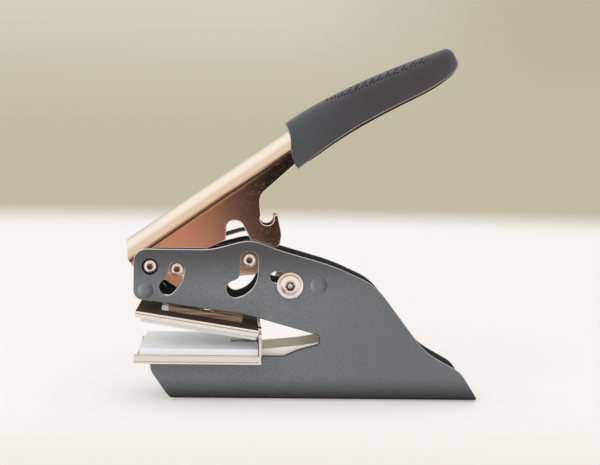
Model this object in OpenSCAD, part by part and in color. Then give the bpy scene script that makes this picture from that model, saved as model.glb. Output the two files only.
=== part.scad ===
// Hand embosser: a folded steel stand with a fish-mouth opening, a lever handle that
// drives a press link, and a die insert that slides into the mouth.
// X runs to the heel, Y across the stand (0 in its middle plane), Z up from the table.

/* [Stand] */
// Outside width of the folded stand
body_w = 28; // [24:0.5:34]
// Thickness of the stand's sheet steel
body_t = 2; // [1.5:0.1:2.5]
// Outside radius of the fold along the bottom
fold_r = 6; // [4:0.5:8]
// Height of the straight top edge over the pivot
top_z = 78.8; // [77.7:0.1:80.2]
// Height of the rounded hump over the guide slot, before its corner is rounded
hump_z = 84.5; // [83.7:0.1:87]
// Distance of the stand's front edge ahead of the handle pivot
jaw_reach = 8.4; // [7.5:0.1:10]
// Distance of the heel's tip behind the handle pivot
heel_reach = 172.8; // [152:0.2:192]
// Height of the lower jaw, on which the die insert rests
jaw_z = 21.5; // [20:0.1:24]

/* [Pivots] */
// Height of the handle pivot
pivot_z = 69.7; // [68.7:0.1:70.2]
// Distance from the handle pivot to the crank pin
crank_r = 13.86; // [13.2:0.02:14.6]
// Rest angle of the crank pin below the horizontal
crank_drop = 5.4; // [4:0.1:7]
// Distance from the crank pin to the guide pin
link_l = 37.5; // [36.5:0.1:38.5]
// Rest angle of the press link above the horizontal
link_rise = 8; // [7:0.1:9]
// Swing of the handle from rest to closed dies
press_angle = 27; // [20:0.5:27]

/* [Slots] */
// Width of the curved slot round the crank screw heads
crank_slot_w = 8.2; // [8:0.1:8.8]
// Angle over which the crank slot reaches past its rest end
crank_slot_sweep = 45; // [32:1:50]
// Width of the hooked slot round the guide screw heads
guide_slot_w = 9.1; // [8.8:0.1:9.6]
// Length of the straight part of the guide slot
guide_slot_drop = 6.4; // [5.5:0.1:7]
// Radius of the curved part of the guide slot, at its centre line
guide_slot_r = 8.85; // [8.5:0.05:9.5]
// Angle over which the guide slot curves
guide_slot_sweep = 78; // [60:1:85]

/* [Lock] */
// Centre of the lock slot's curve, behind the handle pivot
lock_dx = 65; // [64.5:0.1:65.5]
// Centre of the lock slot's curve, below the handle pivot
lock_dz = 12.9; // [12.5:0.1:13.3]
// Radius of the lock slot at its centre line
lock_r = 8.2; // [8:0.05:8.4]
// Diameter of the lock pin
lock_pin_d = 5.5; // [5:0.1:5.6]
// Diameter of the lock pin in the grooves that the hooks drop into
lock_neck_d = 3.6; // [3:0.1:3.8]
// Diameter of the flange under the lock screw's head
lock_flange_d = 13.6; // [12:0.2:15]
// Angle of the lock pin at rest above the horizontal
lock_rest_angle = 30; // [15:1:45]

/* [Handle] */
// Slope of the handle's back
handle_slope = 35; // [34:0.1:36]
// Distance of the handle's front end ahead of the pivot
handle_front = 13.1; // [12.5:0.1:14]
// Height of the handle's front end over the pivot
handle_top = 12.4; // [12:0.1:13]
// Thickness of the handle's sheet steel
handle_t = 2; // [1.5:0.1:2.4]
// Radius of the cheek round the pivot
pivot_boss_r = 7.6; // [7:0.1:7.6]
// Radius of the cheek round the crank pin
crank_boss_r = 6.3; // [5.5:0.1:6.3]
// Radius of the arch cut into the cheeks
arch_r = 4.1; // [3.8:0.1:4.4]
// Radius of the hook's notch
notch_r = 3.65; // [3.3:0.05:3.8]

/* [Grip] */
// Depth of the grip at its front end
grip_d = 23.2; // [22:0.2:26]
// Depth of the grip at the start of its rounded tip
grip_tip_d = 17; // [15:0.2:18]
// Thickness of the grip over each cheek of the handle
grip_wall = 2; // [1.5:0.1:2.5]
// Length over which the grip's underside rises to its tip
grip_tip_l = 24; // [20:1:28]
// Length of the rounding at the top of the grip's tip
grip_tip_r = 3; // [2.5:0.5:5]

/* [Press link] */
// Thickness of the link's two cheeks
link_t = 2; // [1.5:0.1:2.2]
// Radius of the link's end at the crank pin
link_front_r = 6; // [5.5:0.1:6.5]
// Radius of the link's end at the guide pin
link_rear_r = 8; // [6.5:0.1:8.2]
// Diameter of the press roller
roller_d = 9; // [8.6:0.1:9.2]
// Roller axis behind the crank pin
roller_dx = 16; // [15.6:0.1:16.2]
// Diameter of the roller's pin
roller_pin_d = 4; // [3:0.1:5]

/* [Die insert] */
// Width of the insert's plates
clip_w = 50; // [46:1:56]
// Length of the lower plate, front edge to stop wall
clip_l = 64.7; // [63:0.1:66]
// Height of the lower plate over the jaw
clip_h = 4; // [3.8:0.1:4.4]
// Thickness of the insert's sheet steel
clip_t = 1.2; // [0.8:0.1:1.4]
// Height of the stop wall's top over the jaw
wall_h = 15.7; // [14.5:0.1:16.2]
// Length of the tail behind the stop wall
tail_l = 33; // [26:0.5:34]
// Thickness of the upper plate
upper_plate_t = 2.5; // [2.2:0.1:2.8]
// Thickness of each die where it shows
die_t = 3.25; // [3:0.05:3.5]
// Width of the plates' rims outside the dies
rim_w = 3; // [2:0.1:4]
// Opening angle of the upper plate
open_angle = 8.65; // [8:0.05:9]
// Thickness of the pressure bar
bar_t = 2.7; // [2.4:0.05:2.8]
// Width of the pressure bar
bar_w = 23.4; // [20:0.2:25]
// Length of the pressure bar
bar_l = 42; // [38:0.5:44]

/* [Pins and screws] */
// Diameter of the handle's pivot barrel
barrel_d = 7.86; // [7.6:0.02:8]
// Diameter of the crank pin and the guide pin
pin_d = 5; // [4.6:0.05:5]
// Diameter of the button screw heads
head_d = 7.6; // [7:0.1:7.6]
// Height of the button screw heads
head_h = 2.2; // [1.6:0.1:2.6]
// Thread diameter of the small screws
thread_d = 3; // [2.5:0.1:3.4]
// Thread length of the small screws
thread_l = 7; // [5:0.5:9]
// Diameter of the front spacer's riveted ends
front_rivet_d = 8; // [7:0.2:8]
// Diameter of the rear spacer's riveted ends
rear_rivet_d = 9; // [8:0.2:10]
// Height of the spacers' riveted domes
dome_h = 0.9; // [0.5:0.1:1.5]

/* [Return spring] */
// Wire diameter of the return spring
wire_d = 1.6; // [1.2:0.1:1.8]
// Gap between the turns of the spring's coil
coil_gap = 0.5; // [0.45:0.05:0.8]
// Slope of the spring's long leg
leg_slope = 14; // [12:0.5:15]
// Distance along the long leg from the coil to the anchor pin
leg_l = 55; // [54:0.5:56]
// Diameter of the anchor pin that the long leg presses on
anchor_d = 3; // [2:0.1:3.4]
// Wall of the sleeve between the pivot barrel and the coil
sleeve_t = 0.7; // [0.5:0.05:1]
// Thickness of the leaf that lifts the upper plate
leaf_t = 0.4; // [0.3:0.05:0.6]
// Width of the leaf
leaf_w = 6; // [5.5:0.5:8]

/* [Clearances] */
// Side gap between plates that move past each other
side_gap = 0.3; // [0.2:0.05:0.4]
// Radial gap of a pin that turns in its hole
running_gap = 0.06; // [0.03:0.01:0.09]
// Radial gap of a pin that is fixed in its hole
fixed_gap = 0.02; // [0.01:0.01:0.03]
// Gap between the roller and the pressure bar at rest
roller_gap = 0.45; // [0.35:0.05:0.6]
// Gap between the closed dies
press_gap = 0.3; // [0.2:0.05:0.4]
// Gap between the insert and the jaws it slides on
seat_gap = 0.1; // [0.05:0.05:0.2]
// Gap between the insert's tail and the sides of the stand
tail_gap = 0.4; // [0.3:0.05:0.6]

/* [Hidden] */
$fn = 64;
paint = [0.44, 0.45, 0.47];
nickel = [0.80, 0.76, 0.72];
copper_tint = [0.62, 0.45, 0.36];
steel = [0.68, 0.66, 0.63];
rubber = [0.27, 0.26, 0.26];
plastic = [0.92, 0.94, 0.95];

// Layers across the stand, each as its distance from the middle plane
body_in = body_w / 2 - body_t;
link_out = body_in - side_gap;
link_in = link_out - link_t;
handle_out = link_in - side_gap;
handle_in = handle_out - handle_t;

// Joints and pins in the side view, as [x, z]
pivot = [0, pivot_z];
crank = pivot + crank_r * [cos(crank_drop), -sin(crank_drop)];
guide = crank + link_l * [cos(link_rise), sin(link_rise)];
lock_centre = pivot + [lock_dx, -lock_dz];
lock_pin_at = lock_centre + lock_r * [cos(lock_rest_angle), sin(lock_rest_angle)];
lock_top_angle = 92;
lock_low_angle = -3;
lock_side_gap = 0.15;
lock_thread_l = 4;
front_spacer = pivot + [-2, -12.4];
rear_spacer = pivot + [87.1, -8.7];

// The notch meets the lock pin at the top of its slot when the handle is pressed
locked_pin = lock_centre + lock_r * [cos(lock_top_angle), sin(lock_top_angle)];
notch = pivot + turned(locked_pin - pivot, press_angle);

// The return spring: coil round a sleeve on the barrel, long leg under the anchor pin
spring_curl = 8;
coil_r = (barrel_d / 2 + fixed_gap + sleeve_t + 0.15 + wire_d / 2) / cos(180 / spring_curl);
coil_pitch = wire_d + coil_gap;
coil_turns = floor((2 * (handle_in - side_gap) - wire_d) / coil_pitch - 0.2);
leg_start = pivot + coil_r * [-sin(leg_slope), cos(leg_slope)];
spring_anchor_at = leg_start + leg_l * [cos(leg_slope), sin(leg_slope)]
    + (wire_d / 2 + anchor_d / 2 + 0.1) * [-sin(leg_slope), cos(leg_slope)];
hook_r = (front_rivet_d / 2 + wire_d / 2 + 0.15) / cos(15);

// The die insert, flat on the lower jaw
clip_front = -7;
wall_x = clip_front + clip_l;
clip_z = jaw_z + seat_gap;
die_w = clip_w - 2 * rim_w;
lower_die_z = clip_z + clip_h + fixed_gap;
upper_die_z = lower_die_z + die_t + press_gap;
upper_plate_z = upper_die_z + die_t;
bar_z = upper_plate_z + upper_plate_t;
rock = [84.6, jaw_z + 10.7];
upper_front = clip_front - 0.5;
upper_rear = wall_x - clip_t - 1.1;
bar_x = 4.7;
tail_w = 2 * (body_in - tail_gap);
tab_y = 16;
tab_w = 5;
tab_l = 1.7;
rivet_d = 3;

// The roller stands one gap over the open pressure bar
roller_x = crank.x + roller_dx;
roller_z = rock.y + (rock.x - roller_x) * tan(open_angle)
    + (bar_z + bar_t - rock.y + roller_d / 2 + roller_gap) / cos(open_angle);
roller = [roller_x, roller_z];

// The handle's front end, and the frame's zero under the middle of the whole object
handle_tip = pivot + [-handle_front, handle_top];
heel_r = 1;
heel_round = 0.75;
frame_x = -(handle_tip.x + heel_reach - heel_round) / 2;

spacer_neck_d = 5;
pivot_thread_d = 4;
barrel_end = body_in + 0.5;
tiny = 0.01;

function unit(v) = v / norm(v);
function turned(v, a) = [v.x * cos(a) - v.y * sin(a), v.x * sin(a) + v.y * cos(a)];

// Points of an outline whose corners [x, z, radius] are each rounded to their own radius
function rounded(c, step = 10) =
    [for (i = [0 : len(c) - 1]) each corner(c[(i + len(c) - 1) % len(c)], c[i], c[(i + 1) % len(c)], step)];
function corner(a, b, d, step) =
    let (p = [b.x, b.y], u = unit([a.x, a.y] - p), v = unit([d.x, d.y] - p), r = b[2])
    r == 0 ? [p] :
    let (half = acos(u * v) / 2,
         centre = p + unit(u + v) * r / sin(half),
         start = p + u * r / tan(half) - centre,
         turn = (180 - 2 * half) * -sign(cross(u, v)),
         n = max(1, ceil(abs(turn) / step)))
    [for (k = [0 : n]) centre + turned(start, turn * k / n)];

// Puts the side view upright in the shared frame
module part_frame() translate([frame_x, 0, 0]) children();
// Extrudes a side view across the stand
module across(w) rotate([90, 0, 0]) linear_extrude(w, center = true) children();
// A pair of sheets whose inner faces are y from the middle plane
module sheets(y, t) for (side = [-1, 1]) translate([0, side * (y + t / 2), 0]) across(t) children();
// Moves to a point of the side view
module at(p) translate([p.x, 0, p.y]) children();
// A round bar across the stand
module bar(d, w) rotate([90, 0, 0]) cylinder(d = d, h = w, center = true);
// A copy on each side of the middle plane, drawn pointing outwards along +Z
module both_sides(y) for (side = [-1, 1]) translate([0, side * y, 0]) rotate([-90 * side, 0, 0]) children();

// Points along an arc, without its last one
function arc_points(centre, r, from, to, step = 9) = let (n = ceil(abs(to - from) / step))
    [for (k = [0 : n - 1]) let (a = from + (to - from) * k / n) centre + r * [cos(a), sin(a)]];
// A curved slot in the side view, with round ends
module arc_slot(centre, r, w, from, to) polygon(concat(
    arc_points(centre, r + w / 2, from, to),
    arc_points(centre + r * [cos(to), sin(to)], w / 2, to, to + 180),
    arc_points(centre, r - w / 2, to, from),
    arc_points(centre + r * [cos(from), sin(from)], w / 2, from + 180, from + 360)));

// Side view of the stand, with the mouth between its jaws
module stand_side() {
    front = -jaw_reach;
    step_x = wall_x + side_gap;
    polygon(rounded([
        // front edge, top edge and hump
        [front, top_z - 25.9, 5], [front, top_z, 6.5], [30.7, top_z, 30],
        [guide.x + 0.9, hump_z, 18.9], [65.7, hump_z - 5.3, 40], [94.9, hump_z - 13.5, 60],
        // back, in an S curve down to the heel
        [116.7, hump_z - 23.2, 28], [143.5, 26.4, 34], [heel_reach - 10.2, 15.8, 12], [heel_reach, 0, heel_r],
        // bottom, and up to the lower jaw
        [11.3, 0, 3], [0.5, 15.9, 8], [0.4, jaw_z, 0.5],
        // lower edge of the mouth behind the insert
        [step_x, jaw_z, 0], [step_x, jaw_z + 2.3, 1], [69.5, jaw_z + 2.3, 4], [76, jaw_z + 5.4, 6],
        // round end of the mouth, and the upper jaw
        [88, jaw_z + 8.8, 1.8], [87.9, jaw_z + 13.3, 2], [50, top_z - 33.5, 60]]));
}

// Holes and slots through both sides of the stand
module stand_cuts() {
    translate(pivot) circle(d = barrel_d + 2 * running_gap);
    arc_slot(pivot, crank_r, crank_slot_w, -crank_drop - crank_slot_sweep, -crank_drop);
    guide_slot();
    arc_slot(lock_centre, lock_r, lock_pin_d + 0.4, lock_low_angle, lock_top_angle);
    translate(front_spacer) circle(d = spacer_neck_d + 2 * fixed_gap);
    translate(rear_spacer) circle(d = spacer_neck_d + 2 * fixed_gap);
}

// The guide slot runs straight down and then hooks forward
module guide_slot() {
    bend = guide - [guide_slot_r, guide_slot_drop];
    w = guide_slot_w / 2;
    end = -guide_slot_sweep;
    polygon(concat(
        arc_points(guide, w, 0, 180),
        arc_points(bend, guide_slot_r - w, 0, end),
        arc_points(bend + guide_slot_r * [cos(end), sin(end)], w, 180 + end, 360 + end),
        arc_points(bend, guide_slot_r + w, end, 0),
        [guide + [w, -guide_slot_drop]]));
}

// U section of the folded sheet, swept along the stand
module stand_section() {
    w = body_w / 2;
    high = hump_z + 5;
    rotate([90, 0, 90]) linear_extrude(2 * heel_reach, center = true) polygon(rounded([
        [-w, high, 0], [-w, 0, fold_r], [w, 0, fold_r], [w, high, 0],
        [w - body_t, high, 0], [w - body_t, body_t, fold_r - body_t],
        [body_t - w, body_t, fold_r - body_t], [body_t - w, high, 0]]));
}

module body_shell() color(paint) part_frame() intersection() {
    stand_section();
    across(body_w + 2) difference() {
        stand_side();
        stand_cuts();
    }
}

// A spacer bar whose thinner ends pass through the stand and are riveted to domes
module spacer(p, d) color(paint) part_frame() at(p) {
    bar(d, 2 * body_in);
    bar(spacer_neck_d, body_w);
    both_sides(body_w / 2) intersection() {
        dome_r = (d * d / 4 + dome_h * dome_h) / (2 * dome_h);
        translate([0, 0, dome_h - dome_r]) sphere(r = dome_r);
        cylinder(d = d, h = dome_h);
    }
}
module spacer_front() spacer(front_spacer, front_rivet_d);
module spacer_rear() spacer(rear_spacer, rear_rivet_d);

// Button head screw, standing on z = 0 with its thread below
module button_screw(d, h, thread, l) {
    difference() {
        union() {
            intersection() {
                translate([0, 0, h - d * 0.62]) sphere(r = d * 0.62);
                cylinder(d = d, h = h);
            }
            translate([0, 0, -l]) cylinder(d = thread, h = l + tiny);
        }
        translate([0, 0, h * 0.35]) cylinder(d = d * 0.42, h = h, $fn = 6);
    }
}

// Cross pin with a threaded blind hole in each end
module tapped_pin(p, d, half, thread, l) color(steel) part_frame() at(p) difference() {
    bar(d, 2 * half);
    both_sides(half - l - 0.5) cylinder(d = thread + 2 * fixed_gap, h = l + 1);
}
module pin_screws(p, half, d, h, thread, l) color(steel) part_frame() at(p)
    both_sides(half) button_screw(d, h, thread, l);

module pivot_pin() tapped_pin(pivot, barrel_d, barrel_end, pivot_thread_d, thread_l);
module pivot_screws() pin_screws(pivot, barrel_end, head_d, head_h, pivot_thread_d, thread_l);
module crank_pin() tapped_pin(crank, pin_d, body_in, thread_d, thread_l);
module crank_screws() pin_screws(crank, body_in, head_d, head_h, thread_d, thread_l);
module guide_pin() tapped_pin(guide, pin_d, body_in, thread_d, thread_l);
module guide_screws() pin_screws(guide, body_in, head_d, head_h, thread_d, thread_l);

// Bushes that centre the handle between the sides of the stand
module pivot_bushes() color(steel) part_frame() at(pivot)
    both_sides(handle_out + fixed_gap) difference() {
        cylinder(d = barrel_d + 2.7, h = body_in - handle_out - side_gap);
        translate([0, 0, -1]) cylinder(d = barrel_d + 2 * fixed_gap, h = body_in);
    }

// Where the handle's half-round back ends inside the grip, and its cheeks run on as a tang
web_end = 89;
function tang(grow) = let (z = pivot.y) [
    [73.5, z + 53.4 - grow, 0], [87, z + 65.2 - grow, 20], [118, z + 85.5 - grow, 60], [138 + grow, z + 94.5 - grow, 3],
    [136 + grow, z + 102 + grow, 3], [112, z + 92 + grow, 60], [web_end + grow, z + 74.3 + grow, 0]];
// Side view of the handle's cheeks
module handle_side() {
    z = pivot.y;
    arch = crank + [29, 21.1];
    difference() {
        union() {
            polygon(rounded([
                [handle_tip.x, handle_tip.y, 1], [-11.9, z + 2.5, 2.5], [-7.5, z - 2.8, 0],
                [0, z - pivot_boss_r, 0], [crank.x, crank.y - crank_boss_r, 0],
                [crank.x + crank_boss_r * cos(27), crank.y - crank_boss_r * sin(27), 0],
                [27.5, z + 8.5, 6], [arch.x - arch_r, arch.y - 6, 1.5],
                // arch over the guide pin, and the lobe behind it
                [arch.x - arch_r, arch.y + arch_r, arch_r - 0.2], [arch.x + arch_r - 0.7, arch.y + arch_r, arch_r],
                [53.4, z + 10.2, 4], [66.6, z + 10.1, 3.4], [67.5, z + 17, 8],
                [notch.x + 5.5, notch.y + 2, 0.6],
                // notch of the hook, and the neck up to the grip
                [notch.x + notch_r * 0.92, notch.y + notch_r * 0.39, 0],
                [notch.x - notch_r * 0.92, notch.y + notch_r * 0.39, 0],
                [55.6, z + 36.9, 7], each tang(0),
                [web_end, handle_tip.y + (web_end + handle_front) * tan(handle_slope), 0]]));
            translate(pivot) circle(r = pivot_boss_r);
            translate(crank) circle(r = crank_boss_r);
        }
        translate(notch) circle(r = notch_r);
        translate(pivot) circle(d = barrel_d + 2 * fixed_gap);
        translate(crank) circle(d = pin_d + 2 * fixed_gap);
    }
}

// How far the spring's anchor pin reaches into each cheek
anchor_end = handle_in + 0.7 * handle_t;

// Section of the handle, a sheet folded over a half-round back, swept along its slope
module handle_section(r) {
    long = 190;
    ahead = handle_out * 2;
    translate([handle_tip.x, 0, handle_tip.y]) rotate([0, -handle_slope, 0]) translate([-ahead, 0, -handle_out]) {
        rotate([0, 90, 0]) cylinder(r = r, h = long);
        translate([0, -r, -long / 2]) cube([long, 2 * r, long / 2]);
    }
}

module handle_channel() color(copper_tint) part_frame() difference() {
    intersection() {
        handle_section(handle_out);
        across(3 * handle_out) handle_side();
    }
    handle_section(handle_in);
    // blind seats for the anchor pin
    at(spring_anchor_at) bar(anchor_d + 2 * fixed_gap, 2 * (anchor_end + fixed_gap));
}

// Room that the handle's sheet takes up inside the grip, which is moulded round it and fills it
module handle_room() {
    front = 60;
    high = pivot.y + 120;
    intersection() {
        difference() {
            handle_section(handle_out + fixed_gap);
            handle_section(handle_in - fixed_gap);
        }
        across(3 * handle_out) polygon(rounded([
            [front, pivot.y + 40.7, 0], each tang(fixed_gap), [web_end + fixed_gap, high, 0], [front, high, 0]]));
    }
}

// Centre line of the grip, a curve through three points, from its front end to its tip
grip_start = pivot + [72.59, 62.95];
grip_bend = pivot + [99.29, 84.3];
grip_end = pivot + [157.97, 108.37];
grip_rings = 28;
grip_sides = 28;
grip_squareness = 2.6;
grip_cut_slant = 20;
grip_cut_wave = 0.9;
function grip_centre(t) = pow(1 - t, 2) * grip_start + 2 * t * (1 - t) * grip_bend + t * t * grip_end;
function grip_dir(t) = unit((1 - t) * (grip_bend - grip_start) + t * (grip_end - grip_bend));
grip_l = norm(grip_bend - grip_start) + norm(grip_end - grip_bend);
// Fullness of the tip at a share t of the length, where it rounds off over l
function tip_share(t, l) = let (past = (t - 1) * grip_l / l + 1, e = 2.2)
    past <= 0 ? 1 : max(0.12, pow(1 - pow(min(past, 0.999), e), 1 / e));
function grip_ring(t) =
    let (c = grip_centre(t), d = grip_dir(t), n = [-d.y, d.x],
         deep = (grip_d + (grip_tip_d - grip_d) * pow(t, 1.6)) / 2,
         high = deep * tip_share(t, grip_tip_r), low = deep * tip_share(t, grip_tip_l),
         wide = (handle_out + grip_wall) * (1 - 0.16 * pow(t, 3)) * pow(tip_share(t, 9), 0.8),
         fade = pow(1 - min(1, t * 2.2), 2))
    [for (k = [0 : grip_sides - 1])
        let (a = 360 * k / grip_sides, q = 2 / grip_squareness,
             y = wide * sign(cos(a)) * pow(abs(cos(a)), q), side = sign(sin(a)) * pow(abs(sin(a)), q),
             v = (high - low) / 2 + (high + low) / 2 * side,
             p = c + n * v + d * fade * (v * tan(grip_cut_slant) + grip_cut_wave * sin(180 * side)))
        [p.x, y, p.y]];
// Solid through a row of rings, closed at both ends
module loft(rings) {
    m = len(rings[0]);
    points = [for (ring = rings) each ring];
    faces = concat(
        [for (i = [0 : len(rings) - 2], k = [0 : m - 1]) each
            let (a = i * m + k, b = i * m + (k + 1) % m) [[a, a + m, b], [b, a + m, b + m]]],
        [for (k = [1 : m - 2]) [0, k, k + 1]],
        [for (k = [1 : m - 2]) let (e = (len(rings) - 1) * m) [e, e + k + 1, e + k]]);
    polyhedron(points, faces);
}
module handle_grip() color(rubber) part_frame() difference() {
    loft([for (i = [0 : grip_rings]) grip_ring(1 - pow(1 - i / grip_rings, 1.35))]);
    handle_room();
}

// Cheeks of the press link, from the crank pin over the roller to the guide pin
module link_side() {
    difference() {
        union() {
            polygon(rounded([
                [crank.x, crank.y + link_front_r, 0], [guide.x, guide.y + link_rear_r, 0],
                [guide.x, guide.y - link_rear_r, 0], [guide.x - 12, guide.y - link_rear_r - 1, 5],
                [roller.x + roller_d / 2 - 0.5, roller.y, 0], [roller.x - roller_d / 2 + 0.5, roller.y, 0],
                [crank.x + 3.5, crank.y - 8.6, 6], [crank.x - 3.2, crank.y - 5, 0]]));
            translate(crank) circle(r = link_front_r);
            translate(guide) circle(r = link_rear_r);
            translate(roller) circle(d = roller_d - 1);
        }
        translate(crank) circle(d = pin_d + 2 * running_gap);
        translate(guide) circle(d = pin_d + 2 * fixed_gap);
        translate(roller) circle(d = roller_pin_d + 2 * fixed_gap);
    }
}
module press_link() color(steel) part_frame() sheets(link_in, link_t) link_side();
module press_roller() color(steel) part_frame() at(roller) difference() {
    bar(roller_d, 2 * (link_in - fixed_gap));
    bar(roller_pin_d + 2 * fixed_gap, body_w);
}
module roller_pin() color(steel) part_frame() at(roller) bar(roller_pin_d, 2 * link_out);

// Lock pin through both lock slots, with grooves for the hooks and flanged button screws outside
module lock_pin() color(steel) part_frame() at(lock_pin_at) difference() {
    bar(lock_pin_d, body_w + 2 * lock_side_gap);
    both_sides(body_w / 2 + lock_side_gap - lock_thread_l - 0.3)
        cylinder(d = thread_d + 2 * fixed_gap, h = lock_thread_l + 1);
    both_sides(handle_in - side_gap) difference() {
        cylinder(d = lock_pin_d + 1, h = handle_t + 2 * side_gap);
        translate([0, 0, -1]) cylinder(d = lock_neck_d, h = handle_t + 2);
    }
}
module lock_screws() color(steel) part_frame() at(lock_pin_at) both_sides(body_w / 2 + lock_side_gap) {
    flange_h = 0.7;
    dome_d = lock_flange_d - 3;
    dome_r = 6.2;
    dome_top = 3.8;
    difference() {
        union() {
            cylinder(d = lock_flange_d, h = flange_h);
            translate([0, 0, flange_h]) cylinder(d1 = lock_flange_d, d2 = dome_d, h = flange_h);
            intersection() {
                translate([0, 0, dome_top - dome_r]) sphere(r = dome_r);
                cylinder(d = dome_d, h = dome_top);
            }
            translate([0, 0, -lock_thread_l]) cylinder(d = thread_d, h = lock_thread_l + tiny);
        }
        translate([0, 0, dome_top / 2]) cylinder(d = dome_top * 1.2, h = dome_top, $fn = 6);
    }
}

// Draws a section across the stand, swept along X from x0 over l, and standing on z0
module along(x0, l, z0) translate([x0, 0, z0]) rotate([90, 0, 90]) linear_extrude(l) children();

// Lower plate of the die insert, folded from one sheet with its stop wall and tail
module lower_plate() color(nickel) part_frame() {
    in_wall = wall_x - clip_t / 2;
    along(clip_front, in_wall - clip_front, clip_z) difference() {
        translate([-clip_w / 2, 0]) square([clip_w, clip_h]);
        translate([-die_w / 2 + 1.5, clip_t]) square([die_w - 3, clip_h]);
        for (side = [-1, 1]) translate([side * clip_w / 2, clip_h * 0.3]) square([0.8, 0.35], center = true);
    }
    along(wall_x - clip_t, clip_t, clip_z) difference() {
        polygon(rounded([[-clip_w / 2, 0, 0], [clip_w / 2, 0, 0], [clip_w / 2, wall_h, 3], [-clip_w / 2, wall_h, 3]]));
        for (side = [-1, 1]) translate([side * tab_y - tab_w / 2 - side_gap, upper_plate_z - clip_z - side_gap])
            square([tab_w + 2 * side_gap, wall_h]);
        translate([-leaf_w / 2 - side_gap, clip_t]) square([leaf_w + 2 * side_gap, leaf_t + 0.6]);
    }
    intersection() {
        along(in_wall, tail_l + clip_t, clip_z) difference() {
            translate([-tail_w / 2, 0]) square([tail_w, wall_h]);
            translate([-tail_w / 2 + clip_t, clip_t]) square([tail_w - 2 * clip_t, wall_h]);
        }
        across(body_w) polygon(rounded([
            [in_wall, clip_z, 0], [wall_x + tail_l - 13, clip_z, 6], [wall_x + tail_l, clip_z + 5.2, 2],
            [wall_x + tail_l, clip_z + 9.6, 1.2], [wall_x + tail_l - 13, clip_z + 7.2, 12], [in_wall, clip_z + 5.2, 0]]));
    }
}

// Lower die, with a foot in the plate's channel and a groove for the leaf
module lower_die() color(plastic) part_frame() {
    l = clip_l - 4.3;
    foot_w = die_w - 3 - 2 * fixed_gap;
    groove_l = leaf_rise_l + 2.5;
    difference() {
        union() {
            translate([clip_front + 2.8, -die_w / 2, lower_die_z]) cube([l, die_w, die_t]);
            translate([clip_front + 2.8, -foot_w / 2, clip_z + clip_t + fixed_gap]) cube([l, foot_w, clip_h]);
        }
        translate([wall_x - clip_t - groove_l, -leaf_w / 2 - side_gap, 0]) cube([groove_l + 5, leaf_w + 2 * side_gap, top_z]);
    }
}

// Draws the upper half of the insert lifted open round its rocking axis
module opened() at(rock) rotate([0, open_angle, 0]) at(-rock) children();

module upper_plate() color(nickel) part_frame() opened() {
    along(upper_front, upper_rear - upper_front, upper_plate_z) difference() {
        translate([-clip_w / 2, 0]) square([clip_w, upper_plate_t]);
        for (side = [-1, 1]) translate([side * clip_w / 2, upper_plate_t / 2]) square([0.8, 0.3], center = true);
    }
    for (side = [-1, 1]) translate([upper_rear - tiny, side * tab_y - tab_w / 2, upper_plate_z])
        cube([tab_l, tab_w, upper_plate_t]);
}
module upper_die() color(plastic) part_frame() opened()
    translate([upper_front + 3, -die_w / 2, upper_die_z]) cube([upper_rear - upper_front - 3.6, die_w, die_t - fixed_gap]);

// Where the four rivets of the pressure bar stand
bar_rivets_at = [for (x = [bar_x + 5, bar_x + bar_l - 5], y = [-bar_w * 0.3, bar_w * 0.3]) [x, y]];
module pressure_bar() color(copper_tint) part_frame() opened() difference() {
    along(bar_x, bar_l, bar_z + fixed_gap) polygon(rounded([
        [-bar_w / 2, 0, 0], [bar_w / 2, 0, 0], [bar_w / 2, bar_t - fixed_gap, 0.8], [-bar_w / 2, bar_t - fixed_gap, 0.8]]));
    for (p = bar_rivets_at) translate([p.x, p.y, bar_z - 1]) cylinder(d = rivet_d + 2 * fixed_gap, h = bar_t + 2);
}
module bar_rivets() color(steel) part_frame() opened()
    for (p = bar_rivets_at) translate([p.x, p.y, bar_z + fixed_gap]) cylinder(d = rivet_d, h = bar_t - 0.3);

// Leaf that lifts the upper plate: riveted in the tail, through the wall and up between the dies
leaf_rise_l = 12;
leaf_steps = 12;
leaf_z = clip_z + clip_t + fixed_gap;
leaf_foot = [wall_x + 0.6 * tail_l, leaf_z];
leaf_tip_x = wall_x - clip_t - leaf_rise_l;
leaf_tip_z = rock.y + (rock.x - leaf_tip_x) * tan(open_angle) + (upper_die_z - rock.y) / cos(open_angle) - leaf_t - 0.2;
function leaf_line(t) = [wall_x - clip_t - 1 - (leaf_rise_l - 1) * t, leaf_z + (leaf_tip_z - leaf_z) * t * t * (3 - 2 * t)];
leaf_rivets_at = [for (share = [0.18, 0.45]) wall_x + share * tail_l];
module lift_spring() color(steel) part_frame() difference() {
    across(leaf_w) polygon(concat(
        [leaf_foot + [0, leaf_t], leaf_foot],
        [for (k = [0 : leaf_steps]) leaf_line(k / leaf_steps)],
        [for (k = [leaf_steps : -1 : 0]) leaf_line(k / leaf_steps) + [0.35 * sin(180 * k / leaf_steps), leaf_t]]));
    for (x = leaf_rivets_at) translate([x, 0, 0]) cylinder(d = rivet_d + 2 * fixed_gap, h = top_z);
}
module leaf_rivets() color(steel) part_frame() for (x = leaf_rivets_at) translate([x, 0, leaf_z]) {
    cylinder(d = rivet_d, h = leaf_t + 0.5);
    translate([0, 0, leaf_t + fixed_gap]) cylinder(d = rivet_d + 2.4, h = 0.8);
}

// Tube of round wire along a path of points [x, y, z] that never runs straight across the stand
module wire(path, d, sides) {
    last = len(path) - 1;
    rings = [for (i = [0 : last])
        let (t = unit(path[min(i + 1, last)] - path[max(i - 1, 0)]), u = unit(cross(t, [0, 1, 0])), v = cross(t, u))
        [for (k = [0 : sides - 1]) path[i] + d / 2 * (u * cos(360 * k / sides) + v * sin(360 * k / sides))]];
    loft(rings);
}

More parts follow.
